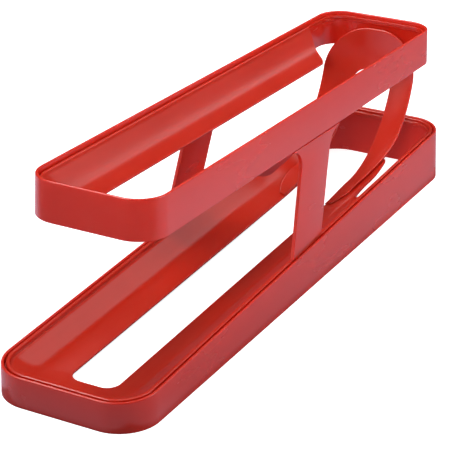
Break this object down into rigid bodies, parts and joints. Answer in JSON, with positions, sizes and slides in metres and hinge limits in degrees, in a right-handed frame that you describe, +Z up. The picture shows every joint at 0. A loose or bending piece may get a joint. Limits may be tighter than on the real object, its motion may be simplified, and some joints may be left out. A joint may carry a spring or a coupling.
{
  "type": "egg dispenser",
  "caption": "Long rolling egg dispenser: a sloping upper trough feeds eggs down a curved chute to a wedge-shaped lower trough, with T-shaped side legs between the tiers.",
  "frame": {"origin": "middle of the lower tier's footprint, on the surface that it stands on", "axes": "+Z up, +Y towards the rear where the chute is, +X to the right seen from the front"},
  "size_m": [0.09, 0.3862, 0.1117],
  "materials": {
    "lower_frame": "satin gloss moulded red polypropylene",
    "lower_trough": "satin gloss moulded red polypropylene",
    "upper_frame": "satin gloss moulded red polypropylene",
    "upper_trough": "satin gloss moulded red polypropylene",
    "leg_left": "satin gloss moulded red polypropylene",
    "leg_right": "satin gloss moulded red polypropylene",
    "chute": "satin gloss moulded red polypropylene"
  },
  "bodies": {
    "base": {"lower_frame": "lower_frame", "lower_trough": "lower_trough"},
    "deck": {"upper_frame": "upper_frame", "upper_trough": "upper_trough", "leg_left": "leg_left", "leg_right": "leg_right", "chute": "chute"}
  },
  "joints": [
    {"name": "deck_lift", "type": "slide", "parent": "base", "child": "deck", "axis": [0, 0, 1], "range_m": [0, 0.06]}
  ]
}
